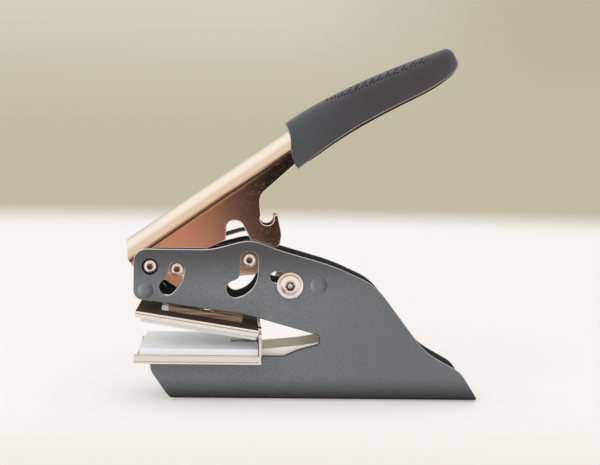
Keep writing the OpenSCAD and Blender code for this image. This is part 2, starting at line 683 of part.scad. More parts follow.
// Path of the return spring: long leg, coil round the pivot, and a hook round the front spacer
hook_turn = 150;
leg_past = 3;
to_spacer = front_spacer - pivot;
hook_angle = atan2(to_spacer.y, to_spacer.x) - acos((coil_r - hook_r) / norm(to_spacer)) + 360;
coil_from = 90 + leg_slope;
coil_span = 360 * coil_turns + hook_angle - coil_from;
coil_rings = round(coil_span / 360 * spring_curl);
coil_y = coil_pitch * coil_span / 720;
function round_pivot(a) = pivot + coil_r * [cos(a), sin(a)];
spring_path = [
    for (l = [leg_l + leg_past, leg_l, leg_l / 2]) let (p = leg_start + l * [cos(leg_slope), sin(leg_slope)]) [p.x, -coil_y, p.y],
    for (k = [0 : coil_rings]) let (p = round_pivot(coil_from + coil_span * k / coil_rings))
        [p.x, -coil_y + 2 * coil_y * k / coil_rings, p.y],
    for (k = [0 : 5]) let (a = hook_angle + hook_turn * k / 5, p = front_spacer + hook_r * [cos(a), sin(a)]) [p.x, coil_y, p.y]];
// Least gap between turns of the wire, measured on the path's points
echo(least_spring_gap = min([for (i = [0 : len(spring_path) - 1], k = [i + 4 : 1 : len(spring_path) - 1])
    norm(spring_path[i] - spring_path[k])]) - wire_d);
module return_spring() color(steel) part_frame() wire(spring_path, wire_d, 6);
module spring_sleeve() color(plastic) part_frame() at(pivot) difference() {
    bar(barrel_d + 2 * fixed_gap + 2 * sleeve_t, 2 * (handle_in - side_gap));
    bar(barrel_d + 2 * fixed_gap, body_w);
}
module spring_anchor() color(steel) part_frame() at(spring_anchor_at) bar(anchor_d, 2 * anchor_end);

body_shell();
spacer_front();
spacer_rear();
handle_channel();
handle_grip();
pivot_pin();
pivot_screws();
pivot_bushes();
crank_pin();
crank_screws();
return_spring();
spring_sleeve();
spring_anchor();
press_link();
press_roller();
roller_pin();
guide_pin();
guide_screws();
lock_pin();
lock_screws();
lower_plate();
lower_die();
lift_spring();
leaf_rivets();
upper_plate();
upper_die();
pressure_bar();
bar_rivets();
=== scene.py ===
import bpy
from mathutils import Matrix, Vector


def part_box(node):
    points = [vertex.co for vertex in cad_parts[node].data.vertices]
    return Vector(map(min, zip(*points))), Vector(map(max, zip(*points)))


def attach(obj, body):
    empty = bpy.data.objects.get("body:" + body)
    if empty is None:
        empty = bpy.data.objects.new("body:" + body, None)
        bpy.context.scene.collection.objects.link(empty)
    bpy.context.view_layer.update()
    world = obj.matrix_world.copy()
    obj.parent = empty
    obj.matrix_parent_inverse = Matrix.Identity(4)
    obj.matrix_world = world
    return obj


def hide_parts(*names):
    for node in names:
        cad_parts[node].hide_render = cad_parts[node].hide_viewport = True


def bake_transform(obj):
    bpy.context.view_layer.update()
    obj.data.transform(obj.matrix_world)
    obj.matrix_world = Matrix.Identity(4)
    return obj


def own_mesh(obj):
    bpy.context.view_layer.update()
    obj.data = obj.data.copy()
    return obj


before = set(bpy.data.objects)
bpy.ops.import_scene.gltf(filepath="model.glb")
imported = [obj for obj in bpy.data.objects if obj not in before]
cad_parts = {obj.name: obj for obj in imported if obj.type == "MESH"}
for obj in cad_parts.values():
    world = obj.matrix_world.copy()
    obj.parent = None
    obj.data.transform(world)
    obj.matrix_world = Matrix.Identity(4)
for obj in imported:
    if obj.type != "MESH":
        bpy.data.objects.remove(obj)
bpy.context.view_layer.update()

import math

import bpy
from mathutils import Matrix, Vector


# Stand: one steel sheet, blanked with its mouth, holes and slots, folded along the bottom to a
# U, and powder coated in a fine grey texture. The sheared edges carry a thin painted highlight.
# The handle's pivot goes through its front end.

class Value:
    """A shader socket that adds its own Math nodes when a sum uses it."""

    def __init__(self, shades, socket):
        self.shades, self.socket = shades, socket

    def _sum(self, operation, first, second):
        return self.shades.node("ShaderNodeMath", {"operation": operation}, {0: first, 1: second})

    def __add__(self, other):
        return self._sum("ADD", self, other)

    def __sub__(self, other):
        return self._sum("SUBTRACT", self, other)

    def __rsub__(self, other):
        return self._sum("SUBTRACT", other, self)

    def __mul__(self, other):
        return self._sum("MULTIPLY", self, other)

    def __gt__(self, other):
        return self._sum("GREATER_THAN", self, other)

    def __pow__(self, other):
        return self._sum("POWER", self, other)

    __radd__, __rmul__ = __add__, __mul__


class Shades:
    """Makes the nodes of one shader tree, which reads one kind of coordinates."""

    def __init__(self, tree, coordinates):
        self.tree = tree
        self.place = self.node("ShaderNodeTexCoord", out=coordinates)

    def node(self, kind, settings=None, values=None, out=0):
        made = self.tree.nodes.new(kind)
        for key, value in (settings or {}).items():
            if key == "stops":
                ramp = made.color_ramp.elements
                while len(ramp) < len(value):
                    ramp.new(0.5)
                for stop, (position, shade) in zip(ramp, value):
                    stop.position, stop.color = position, shade
            else:
                setattr(made, key, value)
        for key, value in (values or {}).items():
            if isinstance(value, Value):
                self.tree.links.new(value.socket, made.inputs[key])
            else:
                made.inputs[key].default_value = value
        return Value(self, made.outputs[out])

    def noise(self, scale, detail=2.0, stretch=(1, 1, 1)):
        place = self.node("ShaderNodeMapping", {}, {"Vector": self.place, "Scale": stretch})
        return self.node("ShaderNodeTexNoise", {},
                         {"Vector": place, "Scale": scale, "Detail": detail})

    def ramp(self, value, *stops):
        return self.node("ShaderNodeValToRGB", {"stops": stops}, {"Fac": value})

    def mix(self, first, second, share):
        return self.node("ShaderNodeMix", {"data_type": "RGBA"},
                         {0: share, 6: first, 7: second}, out=2)

    def axis(self, letter):
        return self.node("ShaderNodeSeparateXYZ", {}, {0: self.place}, out=letter)

    def absolute(self, value):
        return self.node("ShaderNodeMath", {"operation": "ABSOLUTE"}, {0: value})

    def normal(self, letter):
        normals = self.node("ShaderNodeTexCoord", out="Normal")
        return self.node("ShaderNodeSeparateXYZ", {}, {0: normals}, out=letter)

    def facing(self, letter):
        """How squarely a surface faces along one axis, either way."""
        return self.absolute(self.normal(letter))

    def step(self, value, start, end):
        """Rises smoothly from 0 to 1 between two values."""
        return self.node("ShaderNodeMapRange", {"interpolation_type": "SMOOTHSTEP"},
                         {"Value": value, "From Min": start, "From Max": end})


class Finish(Shades):
    """A material round one Principled shader, whose sockets take what is the same all over."""

    def __init__(self, name, **constants):
        self.material = bpy.data.materials.new(name)
        self.material.use_nodes = True
        super().__init__(self.material.node_tree, "Object")
        self.shader = self.tree.nodes["Principled BSDF"]
        for socket, value in constants.items():
            self.shader.inputs[socket.replace("_", " ")].default_value = value

    def feed(self, socket, value):
        self.tree.links.new(value.socket, self.shader.inputs[socket])

    def bump(self, height, distance, strength=1.0):
        self.feed("Normal", self.node("ShaderNodeBump", {}, {
            "Height": height, "Distance": distance, "Strength": strength}))


def placed(name, data):
    """A new object in the scene, from a mesh, a curve, a light or a camera."""
    piece = bpy.data.objects.new(name, data)
    bpy.context.scene.collection.objects.link(piece)
    return piece


def take(piece):
    """Selects one piece alone and makes it the active one."""
    bpy.ops.object.select_all(action="DESELECT")
    piece.select_set(True)
    bpy.context.view_layer.objects.active = piece


def work(piece, *steps):
    """Runs mesh operators, each given with its settings, on the whole of a piece."""
    take(piece)
    bpy.ops.object.mode_set(mode="EDIT")
    bpy.ops.mesh.select_all(action="SELECT")
    for operator, settings in steps:
        operator(**settings)
    bpy.ops.object.mode_set(mode="OBJECT")


def smooth(piece, degrees):
    """Shades a piece smooth, apart from the edges that are sharper than this."""
    take(piece)
    bpy.ops.object.shade_smooth_by_angle(angle=math.radians(degrees))


def apply_modifiers(piece):
    take(piece)
    for modifier in list(piece.modifiers):
        bpy.ops.object.modifier_apply(modifier=modifier.name)


def round_edges(piece, width, segments=2, **settings):
    bevel = piece.modifiers.new("edges", "BEVEL")
    bevel.width, bevel.segments, bevel.limit_method = width, segments, "ANGLE"
    for setting, value in settings.items():
        setattr(bevel, setting, value)
    apply_modifiers(piece)


def edged(name, node, width=0.0002, segments=2, sharp=30, flatten=True, clamp=True):
    """A merged copy of a CAD piece with its sharp edges rounded off."""
    piece = placed(name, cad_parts[node].data.copy())
    take(piece)
    bpy.ops.mesh.customdata_custom_splitnormals_clear()
    steps = [(bpy.ops.mesh.remove_doubles, {"threshold": 2e-6})]
    if flatten:
        steps.append((bpy.ops.mesh.dissolve_limited, {"angle_limit": math.radians(0.4)}))
    work(piece, *steps)
    smooth(piece, sharp)
    round_edges(piece, width, segments, angle_limit=math.radians(sharp),
                use_clamp_overlap=clamp, harden_normals=True)
    return piece


def dress(piece, finish, body, slot, *nodes):
    """Gives a piece its finish and its body, and hides the CAD pieces that it stands for."""
    piece.data.materials.clear()
    piece.data.materials.append(finish.material)
    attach(piece, body)
    if nodes:
        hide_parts(*nodes)
    return piece


pivot = Vector((-0.079475, 0, 0.0697))
sheet_outside, sheet_inside = 0.01402, 0.0123
wall_back = -0.0217
seat_r_squared = 0.0000314

paint = Finish("grey_powder_coat", Specular_IOR_Level=0.42)
x, z = paint.axis("X"), paint.axis("Z")
grain = paint.step(paint.noise(1300, 3), 0.36, 0.64)
cloud = paint.noise(45, 2)
grey = paint.mix((0.132, 0.144, 0.156, 1), (0.218, 0.234, 0.246, 1), grain * 0.6 + cloud * 0.4)
# painted shade: darker towards the heel, the top edge and the table, where less light falls
low = 1 - paint.step(z, 0.0005, 0.014)
upper = paint.step(z, 0.056, 0.080)
grey = paint.mix(grey, (0.100, 0.108, 0.116, 1), paint.step(x, -0.03, 0.06) * 0.45)
grey = paint.mix(grey, (0.066, 0.059, 0.062, 1), upper * 0.9)
grey = paint.mix(grey, (0.018, 0.018, 0.018, 1), low * 0.95)
# painted highlight and shade: the sheared edges are painted light where they face up and forwards,
# darker elsewhere, but not along the fold
outer = paint.absolute(paint.axis("Y"))
dome = outer > sheet_outside
above = z > 0.013
rim = 1 - paint.step(paint.facing("Y"), 0.90, 0.99)
rim = rim * (above + (1 - above) * paint.step(-1 * paint.normal("X"), 0.25, 0.6)) * (1 - dome)
lit = paint.step(paint.normal("Z") * 0.8 - paint.normal("X") * 0.6, 0.30, 0.80)
edge_shade = paint.mix((0.34, 0.33, 0.34, 1), (0.90, 0.87, 0.86, 1), lit)
grey = paint.mix(grey, edge_shade, rim * 0.85)
# painted shade: round the mouth and the pivot screws the sheared edge is painted near-black, as if
# in shadow
behind_wall = x > wall_back
mouth_edge = (x > -0.078) * (1 - (x > 0.010)) * (1 - (z > 0.0525))
mouth_edge = mouth_edge * (behind_wall + (1 - behind_wall) * (z > 0.0305)) * above
seat = 1 - ((x - pivot.x) ** 2 + (z - pivot.z) ** 2 > seat_r_squared)
grey = paint.mix(grey, (0.012, 0.010, 0.009, 1), rim * (mouth_edge + seat))
# painted highlight and shade: the rivets' domes are painted lighter on their left, where they catch
# the window, and darker on their right
dome_left = dome * paint.step(-1 * paint.normal("X"), 0.12, 0.42)
dome_right = dome * paint.step(paint.normal("X"), 0.0, 0.35)
grey = paint.mix(grey, (0.46, 0.47, 0.52, 1), dome_left * 0.45)
grey = paint.mix(grey, (0.070, 0.055, 0.055, 1), dome_right * 0.7)
# the sheet's inner side lies in the dark
inside = (1 - (outer > sheet_inside)) * (paint.facing("Y") > 0.5)
paint.feed("Base Color", paint.mix(grey, (0.022, 0.022, 0.021, 1), inside * 0.85))
paint.feed("Roughness", 0.42 + grain * 0.10 + inside * 0.3)
paint.bump(grain, 0.00003, 0.5)

stand = edged("stand_painted", "body_shell", 0.00045, 3, clamp=False)
dress(stand, paint, "stand", "grey_paint", "body_shell")


# Spacer bars: two turned bars that hold the stand's sides apart. Their thin ends pass through
# the sides and are riveted over to low domes, and the paint goes on over them.
for node in ("spacer_front", "spacer_rear"):
    dress(edged(node + "_painted", node, 0.0001, sharp=50), paint, "stand", "grey_paint", node)


# Handle: one steel sheet folded over a half-round back, with two flat cheeks that carry the
# arch and the hook, then polished and plated with bright nickel. It turns on the pivot barrel.
back_slope, back_height = math.radians(35), 0.12035

chrome = Finish("polished_nickel", IOR=1.6)
smear = chrome.noise(60, 3, (1, 1, 0.35))
speck = chrome.noise(900, 2)
silver = chrome.mix((0.84, 0.775, 0.70, 1), (0.93, 0.88, 0.82, 1), smear)
chrome.feed("Roughness", 0.05 + smear * 0.09 + (speck > 0.63) * 0.06)
# the fold runs out softly down the cheeks
down_cheek = back_height - (chrome.axis("Z") * math.cos(back_slope)
                            - chrome.axis("X") * math.sin(back_slope))
run_out = chrome.step(down_cheek, 0.0055, 0.0116)
chrome.bump(run_out + chrome.noise(26, 1) * 0.05, 0.0009)
# painted highlight: the cheeks' cut edges are painted pale and dull, where they catch the light
cut_edge = 1 - chrome.step(chrome.facing("Y"), 0.86, 0.98)
cut_edge = cut_edge * chrome.step(down_cheek, 0.0105, 0.0125)
chrome.feed("Base Color", chrome.mix(silver, (0.90, 0.74, 0.62, 1), cut_edge))
chrome.feed("Metallic", 1 - cut_edge * 0.85)

handle = edged("handle_plated", "handle_channel", 0.0004, 3, clamp=False)
dress(handle, chrome, "handle", "handle_chrome", "handle_channel")


# Grip: soft dark grey rubber moulded round the handle's tail, with a thin lip at its front end
# that carries a painted highlight, a pad of slanted grooves along its top, and a moulding line
# along each lower edge.
grip_line = [pivot + Vector((x, 0, z))
             for x, z in ((0.07259, 0.06295), (0.09929, 0.0843), (0.15797, 0.10837))]
grip_length = 0.0976
grip_depth = (0.0116, 0.0085)
grip_half_width, grip_skin = 0.0114, 0.0008
front_reach, front_length = 0.0017, 0.010
groove_count, groove_reach = 13, 0.030
lean = math.radians(28)


def grip_place(t):
    """Centre, direction and half depth of the grip at a share t of its length."""
    a, b, c = grip_line
    centre = a * (1 - t) ** 2 + b * 2 * t * (1 - t) + c * t * t
    along = ((b - a) * (1 - t) + (c - b) * t).normalized()
    return centre, along, grip_depth[0] + (grip_depth[1] - grip_depth[0]) * t ** 1.6


def cut(piece, tool):
    """Takes a tool out of a piece and throws the tool away."""
    boolean = piece.modifiers.new("cut", "BOOLEAN")
    boolean.object, boolean.operation, boolean.solver = tool, "DIFFERENCE", "EXACT"
    apply_modifiers(piece)
    bpy.data.objects.remove(tool)


def block(size, place, turn=(0, 0, 0)):
    """A plain block, to cut a groove with or to round off."""
    bpy.ops.object.select_all(action="DESELECT")
    bpy.ops.mesh.primitive_cube_add(size=1, location=place, rotation=turn, scale=size)
    bpy.ops.object.transform_apply(location=True, rotation=True, scale=True)
    return bpy.context.object


def joined(name, pieces):
    """Joins pieces to one under a new name."""
    bpy.ops.object.select_all(action="DESELECT")
    for piece in pieces:
        piece.select_set(True)
    bpy.context.view_layer.objects.active = pieces[0]
    bpy.ops.object.join()
    pieces[0].name = name
    return pieces[0]


grip = edged("grip_moulded", "handle_grip", 0.0005, 2, sharp=62, flatten=False)
grip_core = placed("grip_core", grip.data.copy())
work(grip_core, (bpy.ops.transform.shrink_fatten, {"value": -grip_skin}))
# leaning strokes across the top, each with a short foot beside its lower end
grooves = []
for i in range(groove_count):
    centre, along, half = grip_place(0.368 + 0.49 * i / (groove_count - 1))
    up = Vector((-along.z, 0, along.x))
    deep = min(0.0029, 0.0012 + 0.0006 * i)
    stroke_at = centre + up * (half + 0.0004 - deep / 2)
    foot_at = centre + up * (half - deep) + along * (0.0012 - deep * 0.7)
    for wide, tall, tilt, place in ((0.00062, (deep + 0.0008) / math.sin(lean), lean, stroke_at),
                                    (0.0005, 0.0016, lean / 3, foot_at)):
        rising = along * math.cos(tilt) + up * math.sin(tilt)
        grooves.append(block((wide, groove_reach, tall), place,
                             (0, math.atan2(rising.x, rising.z), 0)))
grooves = joined("grip_grooves", grooves)
cut(grooves, grip_core)
cut(grip, grooves)
smooth(grip, 38)

# the front edge reaches a little further forward at its middle
edge, forth, _ = grip_place(0)
for vertex in grip.data.vertices:
    away = vertex.co - edge
    share = max(0, 1 - away.dot(forth) / front_length) ** 2
    level = (away.z * forth.x - away.x * forth.z) / grip_depth[0]
    vertex.co -= forth * front_reach * min(share, 1) * (1 - 0.6 * min(level * level, 1))

rubber = Finish("grip_rubber_grey", Specular_IOR_Level=0.28, Sheen_Weight=0.25,
                Sheen_Roughness=0.5)
fine = rubber.noise(2600, 2)
broad = rubber.noise(38, 2)
ash = rubber.mix((0.042, 0.037, 0.042, 1), (0.064, 0.058, 0.065, 1), broad * 0.8 + fine * 0.2)
front = 1 - rubber.step(rubber.axis("X"), -0.005, 0.030)
ash = rubber.mix(ash, (0.066, 0.070, 0.078, 1), front)
# the front edge is painted paler as a highlight, and the underside is painted dark as shade
forward = rubber.normal("X") * 0.781 + rubber.normal("Z") * 0.624
front_edge = rubber.step(-1 * forward, 0.25, 0.6) * (1 - (rubber.axis("X") > 0.004))
ash = rubber.mix(ash, (0.34, 0.33, 0.32, 1), front_edge)
under = 1 - rubber.step(rubber.normal("Z"), -0.85, -0.45)
rubber.feed("Base Color", rubber.mix(ash, (0.014, 0.012, 0.011, 1), under * 0.85))
rubber.feed("Roughness", 0.56 + fine * 0.14)
rubber.bump(fine, 0.00002, 0.5)
dress(grip, rubber, "handle", "grip_rubber", "handle_grip")


def fullness(t, length):
    """How much of the grip's depth is left at a share t, as its tip rounds off over a length."""
    past = min((t - 1) * grip_length / length + 1, 0.999)
    return 1 if past <= 0 else max(0.12, (1 - past ** 2.2) ** (1 / 2.2))


def tube(name, route, radius, sides=3):
    """A round cord or wire along a route."""
    line = bpy.data.curves.new(name, "CURVE")
    line.dimensions, line.bevel_depth, line.bevel_resolution = "3D", radius, sides
    line.use_fill_caps = True
    spline = line.splines.new("POLY")
    spline.points.add(len(route) - 1)
    for point, place in zip(spline.points, route):
        point.co = (*place, 1)
    take(placed(name, line))
    bpy.ops.object.convert(target="MESH")
    piece = bpy.context.object
    work(piece, (bpy.ops.mesh.remove_doubles, {"threshold": 1e-6}),
         (bpy.ops.mesh.normals_make_consistent, {"inside": False}))
    smooth(piece, 40)
    return piece


# the moulding line, a fine raised bead along each lower edge whose pale tan is a painted highlight,
# and a near-black cord close under it that is painted shadow
bead_count, bead_sink, bead_fade = 40, 0.00035, 4
roundness = 2 / 2.6
for name, angle, radius, shades in (
        ("grip_seams", 50, 0.0005, ((0.20, 0.165, 0.125, 1), (0.34, 0.29, 0.23, 1))),
        ("grip_seams_low", 60, 0.0006, ((0.006, 0.005, 0.004, 1), (0.016, 0.012, 0.010, 1)))):
    seams = []
    for side in (-1, 1):
        route = []
        for k in range(bead_count + 1):
            t = 0.03 + 0.93 * k / bead_count
            centre, along, half = grip_place(t)
            turn = math.radians(angle + 15 * max(0, 1 - t / 0.45))
            down = half * fullness(t, 0.024) * math.sin(turn) ** roundness
            out = grip_half_width * (1 - 0.16 * t ** 3)
            out = out * fullness(t, 0.009) ** 0.8 * math.cos(turn) ** roundness
            # both ends run into the rubber
            sink = min(k, bead_count - k, bead_fade) / bead_fade * bead_sink - bead_sink
            below = Vector((-along.z, 0, along.x)) * (down + sink)
            route.append(centre - below + Vector((0, side * (out + sink), 0)))
        seams.append(tube("grip_seam_bead", route, radius))
    bead = Finish(name + "_rubber", Specular_IOR_Level=0.2)
    bead.feed("Base Color", bead.mix(*shades, bead.noise(300, 2)))
    bead.feed("Roughness", 0.5 + bead.noise(2000, 1) * 0.2)
    dress(joined(name, seams), bead, "handle", "grip_rubber")


# Pins, bushes and link: turned and pressed steel pieces inside the stand, zinc plated. They are
# the barrel and pins, the bushes, the link's two cheeks with its roller, the lock pin and the
# spring's anchor.
turned_steel = Finish("zinc_plated_steel", Metallic=1.0)
rings = turned_steel.noise(700, 2, (1, 0.12, 1))
turned_steel.feed("Base Color", turned_steel.mix((0.66, 0.60, 0.54, 1), (0.80, 0.76, 0.71, 1),
                                                 rings))
turned_steel.feed("Roughness", 0.20 + rings * 0.16)
turned_steel.bump(rings, 0.00001, 0.4)
for body, nodes in (("handle", ("pivot_pin", "pivot_bushes", "crank_pin", "spring_anchor")),
                    ("link", ("press_roller", "roller_pin", "guide_pin")),
                    ("lock", ("lock_pin",)), ("insert", ("leaf_rivets",)),
                    ("upper_half", ("bar_rivets",))):
    for node in nodes:
        dress(edged(node + "_turned", node, 0.00015, 2), turned_steel, body, "steel", node)

link_plate = Finish("link_pressed_steel", Metallic=1.0)
rolled = link_plate.noise(240, 3, (0.15, 1, 1))
link_plate.feed("Base Color", link_plate.mix((0.80, 0.68, 0.55, 1), (0.92, 0.82, 0.70, 1),
                                             rolled))
link_plate.feed("Roughness", 0.05 + rolled * 0.06)
link_plate.bump(rolled, 0.00001, 0.3)
dress(edged("press_link_plated", "press_link", 0.0002, 2), link_plate, "link", "steel",
      "press_link")


def plates(name, outline, near, far, edge_width):
    """Two flat plates, one on each side, with one outline in mm from the handle's pivot."""
    ends = []
    count = len(outline)
    for side in (-1, 1):
        mesh = bpy.data.meshes.new(name)
        points = [(pivot.x + x / 1000, side * y, pivot.z + z / 1000)
                  for y in (near, far) for x, z in outline]
        faces = [list(range(count)), list(range(2 * count - 1, count - 1, -1))]
        faces += [[i, count + i, count + (i + 1) % count, (i + 1) % count] for i in range(count)]
        mesh.from_pydata(points, [], faces)
        piece = placed(name + "_side", mesh)
        work(piece, (bpy.ops.mesh.normals_make_consistent, {"inside": False}))
        round_edges(piece, edge_width)
        ends.append(piece)
    return joined(name, ends)


# the link's front ends are cut off straight, a little below the crank pin
toe_outline = ((5.6, -5.73), (13.9, -11.18), (17.0, -8.4), (17.2, -5), (13.8, -3.6), (8.6, -3.4))
# painted reflection: the toe plates are tinted copper for the brown room they mirror, and their
# edges are painted near-white as a highlight
toe_steel = Finish("link_toe_plate", Metallic=0.9)
tint = toe_steel.noise(500, 2)
toe_edge_highlight = 1 - toe_steel.step(toe_steel.facing("Y"), 0.80, 0.985)
toe_copper_reflection = toe_steel.mix((0.52, 0.24, 0.12, 1), (0.72, 0.36, 0.19, 1), tint)
toe_steel.feed("Base Color", toe_steel.mix(toe_copper_reflection, (0.98, 0.95, 0.92, 1), toe_edge_highlight))
toe_steel.feed("Roughness", 0.22 + tint * 0.14)
toes = plates("link_toes", toe_outline, near=0.0098, far=0.01172, edge_width=0.0005)
dress(toes, toe_steel, "link", "steel")

# painted shadow: near-black pads on the handle's cheeks, put where the front slots show only shade
pad_outline = ((5.7, -7.0), (6.15, -8.1), (6.7, -8.95), (7.64, -10.05), (9.0, -11.5),
               (10.2, -12.0), (13.9, -11.1), (15.8, -9.2), (15, -5), (8, -4.5))
slot_shadow_black = Finish("slot_shadow_pad_black", Specular_IOR_Level=0.1)
slot_shadow_black.feed("Base Color", slot_shadow_black.mix((0.004, 0.004, 0.004, 1), (0.010, 0.010, 0.010, 1),
                                             slot_shadow_black.noise(600, 2)))
slot_shadow_black.feed("Roughness", 0.7 + slot_shadow_black.noise(900, 1) * 0.2)
shadow_pads = plates("cheek_pads", pad_outline, near=0.0078, far=0.00932, edge_width=0.0002)
dress(shadow_pads, slot_shadow_black, "handle", "grip_rubber")


# Button screws: bright plated heads with a six-lobed socket, one in each end of the barrel, the
# crank pin and the guide pin, and wider flanged ones in the lock pin. Each sits in a turned
# seat. Their profiles and places are in mm.
lobe_share = 0.11


def turned(name, profile, lobes, sides=48):
    """A piece turned about Z from rings of (radius, height), with some rings drawn to six lobes."""
    bpy.ops.object.select_all(action="DESELECT")
    radius, height = profile[0]
    bpy.ops.mesh.primitive_circle_add(vertices=sides, radius=radius, location=(0, 0, height),
                                      fill_type="NGON")
    piece = bpy.context.object
    piece.name = name
    bpy.ops.object.transform_apply(location=True, rotation=True, scale=True)
    bpy.ops.object.mode_set(mode="EDIT")
    bpy.ops.mesh.select_mode(type="FACE")
    bpy.ops.mesh.select_all(action="SELECT")
    for next_radius, next_height in profile[1:]:
        bpy.ops.mesh.extrude_region_move(
            TRANSFORM_OT_translate={"value": (0, 0, next_height - height)})
        share = max(next_radius, 1e-5) / radius
        bpy.ops.transform.resize(value=(share, share, 1), center_override=(0, 0, next_height))
        radius, height = max(next_radius, 1e-5), next_height
    bpy.ops.object.mode_set(mode="OBJECT")
    work(piece, (bpy.ops.mesh.normals_make_consistent, {"inside": False}))
    for vertex in piece.data.vertices:
        x, y, z = vertex.co
        if any(abs(math.hypot(x, y) - r) < 2e-6 and abs(z - h) < 2e-6 for r, h in lobes):
            share = 1 + lobe_share * math.cos(6 * math.atan2(y, x))
            vertex.co = (x * share, y * share, z)
    smooth(piece, 40)
    return piece


def pair(name, profile, lobes, place, half):
    """Two screws on one cross pin, one at each end, pointing outwards."""
    ends = []
    for side in (-1, 1):
        screw = turned(name + "_end", [(r / 1000, h / 1000) for r, h in profile],
                       [(r / 1000, h / 1000) for r, h in lobes])
        screw.data.transform(
            Matrix.Translation((place[0] / 1000, side * half / 1000, place[1] / 1000))
            @ Matrix.Rotation(math.radians(-90 * side), 4, "X"))
        ends.append(screw)
    return joined(name, ends)


def darken_socket(screws, place, half, socket_r, head_height, bright_r=0):
    """Gives the faces inside the heads' sockets the painted shade, outside a bright middle."""
    screws.data.materials.append(socket_dark.material)
    for face in screws.data.polygons:
        middle = face.center * 1000
        away = math.hypot(middle.x - place[0], middle.z - place[1])
        sunk = half < abs(middle.y) < half + head_height
        face.material_index = int(sunk and bright_r <= away < socket_r)


# painted shade: the sockets' walls are painted dark brown
socket_dark = Finish("socket_painted_shade", Metallic=0.7, Roughness=0.35)
socket_dark.feed("Base Color", socket_dark.mix((0.10, 0.045, 0.028, 1), (0.30, 0.17, 0.12, 1),
                                               socket_dark.noise(900, 2)))
screw_steel = Finish("bright_screw_plate", Metallic=1.0)
swirl = screw_steel.noise(420, 2)
cream = screw_steel.mix((0.88, 0.80, 0.74, 1), (0.97, 0.93, 0.89, 1), swirl)
# the heads' rims lie in the dark of their seats
upright = 1 - (screw_steel.facing("Y") > 0.24)
screw_steel.feed("Base Color", screw_steel.mix(cream, (0.16, 0.07, 0.055, 1), upright))
screw_steel.feed("Roughness", 0.28 + swirl * 0.10)
screw_steel.bump(swirl, 0.00001, 0.4)

button_head = [(3.62, 0), (3.8, 0.15), (3.74, 0.38), (3.47, 0.70), (3.05, 1.08), (2.6, 1.42),
               (2.15, 1.68), (1.86, 1.81), (1.72, 1.85)]
button_socket = [(1.62, 1.80), (1.58, 1.1), (1.50, 0.75)]
button_floor = [(0.9, 0.62), (0, 0.45)]
for pin, body, place, half, shank_r in (("pivot", "handle", (-79.475, 69.7), 12.5, 2.0),
                                        ("crank", "handle", (-65.6765, 68.3957), 12.0, 1.5),
                                        ("guide", "link", (-28.5415, 73.6147), 12.0, 1.5)):
    profile = [(shank_r, -7), (shank_r, -0.05)] + button_head + button_socket + button_floor
    screws = pair(pin + "_screws_bright", profile, button_socket, place, half)
    dress(screws, screw_steel, body, "screw_steel", pin + "_screws")
    darken_socket(screws, place, half, socket_r=1.66, head_height=1.82)

lock_shank = [(1.5, -4), (1.5, -0.05)]
lock_head = [(6.5, 0), (6.8, 0.16), (6.8, 0.6), (6.5, 0.78), (5.5, 1.28), (5.15, 1.30),
             (5.05, 1.42), (4.9, 1.46), (4.5, 1.87), (3.9, 2.42), (3.2, 2.91), (2.75, 3.16),
             (2.5, 3.24)]
lock_socket = [(2.36, 3.2), (2.3, 2.4), (2.2, 2.05)]
lock_floor = [(1.2, 1.95), (0, 1.9)]
lock_centre, lock_r, lock_angle, lock_half = (-14.475, 56.8), 8.2, math.radians(30), 14.15
lock_place = (lock_centre[0] + lock_r * math.cos(lock_angle),
              lock_centre[1] + lock_r * math.sin(lock_angle))
lock_screws = pair("lock_screws_bright", lock_shank + lock_head + lock_socket + lock_floor,
                   lock_socket, lock_place, lock_half)
dress(lock_screws, screw_steel, "lock", "screw_steel", "lock_screws")
darken_socket(lock_screws, lock_place, lock_half, socket_r=2.45, head_height=3.22, bright_r=1.1)


# Return spring: a torsion spring wound from round wire on a plastic sleeve round the barrel.
# Its long leg bears on the anchor pin in the handle, and its other end hooks round the front
# spacer. A dark tube is slipped over the leg.
wire_r, turns, pitch = 0.0008, 5, 0.0021
barrel_r, barrel_gap, sleeve_wall, coil_play = 0.00393, 0.00002, 0.0007, 0.00015
coil_r = (barrel_r + barrel_gap + sleeve_wall + coil_play + wire_r) / math.cos(math.radians(22.5))
leg_slope, leg_length = math.radians(14), 0.058
spacer = pivot + Vector((-0.002, 0, -0.0124))
spacer_r = 0.004
hook_r = (spacer_r + wire_r + coil_play) / math.cos(math.radians(15))
to_spacer = spacer - pivot
hook_angle = (math.atan2(to_spacer.z, to_spacer.x)
              - math.acos((coil_r - hook_r) / to_spacer.length) + math.tau)
coil_from = math.radians(90) + leg_slope
coil_span = math.tau * turns + hook_angle - coil_from
coil_y = pitch * coil_span / math.tau / 2
coil_steps, hook_steps = 140, 12
# the leg, from its tip, is bowed a little so that the guide pin passes under it
leg_bow = ((1, 0), (0.95, 0.0005), (0.9, 0.0009), (0.84, 0.0011), (0.75, 0.0008), (0.6, 0.0003),
           (0.5, 0), (0.25, 0), (0.08, 0))
route = []
for share, bow in leg_bow:
    reach = share * leg_length
    route.append(pivot + Vector((
        -coil_r * math.sin(leg_slope) + reach * math.cos(leg_slope), -coil_y,
        coil_r * math.cos(leg_slope) + reach * math.sin(leg_slope) + bow)))
for k in range(coil_steps + 1):
    a = coil_from + coil_span * k / coil_steps
    route.append(pivot + Vector((coil_r * math.cos(a), -coil_y + 2 * coil_y * k / coil_steps,
                                 coil_r * math.sin(a))))
for k in range(hook_steps + 1):
    a = hook_angle + math.radians(150) * k / hook_steps
    route.append(spacer + Vector((hook_r * math.cos(a), coil_y, hook_r * math.sin(a))))
spring = tube("return_spring_wound", route, wire_r)

